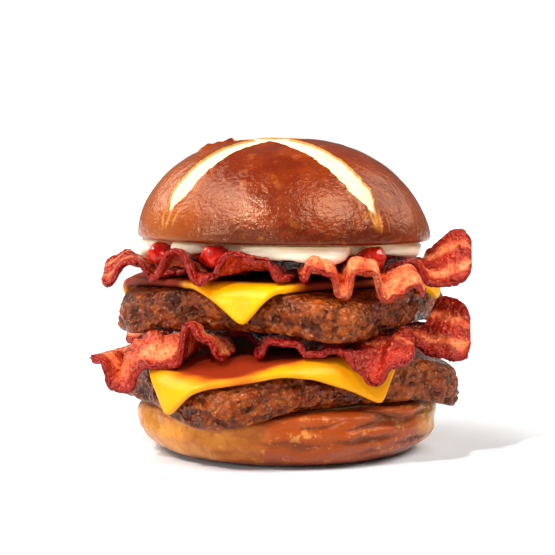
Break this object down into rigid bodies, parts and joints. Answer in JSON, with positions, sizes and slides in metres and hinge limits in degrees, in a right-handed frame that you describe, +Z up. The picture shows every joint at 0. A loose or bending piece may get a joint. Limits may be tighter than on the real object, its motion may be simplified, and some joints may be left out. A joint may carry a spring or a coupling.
{
  "type": "bacon double cheeseburger",
  "caption": "Bacon double cheeseburger on a cross-scored pretzel bun, with ruffled bacon, draped cheese, mayonnaise and ketchup between the layers.",
  "frame": {"origin": "centre of the heel's flat underside", "axes": "+Z up through the layers, -Y the front, where the cheese corners and the bacon's ruffles hang out"},
  "size_m": [0.1298, 0.1234, 0.1102],
  "materials": {
    "heel_crust": "baked pretzel crust, satin",
    "crown_crust": "dark baked pretzel crust with a pale crumb in the score, satin gloss",
    "beef": "seared minced beef, moist",
    "cheese": "warm cheese slice, soft sheen",
    "bacon": "fried bacon, greasy",
    "ketchup": "wet sauce",
    "mayonnaise": "creamy sauce"
  },
  "bodies": {
    "root": {"bun_heel": "heel_crust", "patty_lower": "beef", "cheese_lower": "cheese", "bacon_low_front_left": "bacon", "bacon_low_front_right": "bacon", "bacon_low_second": "bacon", "bacon_low_third": "bacon", "bacon_low_back": "bacon", "patty_upper": "beef", "cheese_upper": "cheese", "bacon_top_front_left": "bacon", "bacon_top_front_right": "bacon", "bacon_top_second": "bacon", "bacon_top_third": "bacon", "bacon_top_back": "bacon", "ketchup": "ketchup", "mayonnaise": "mayonnaise", "bun_crown": "crown_crust"}
  },
  "joints": []
}
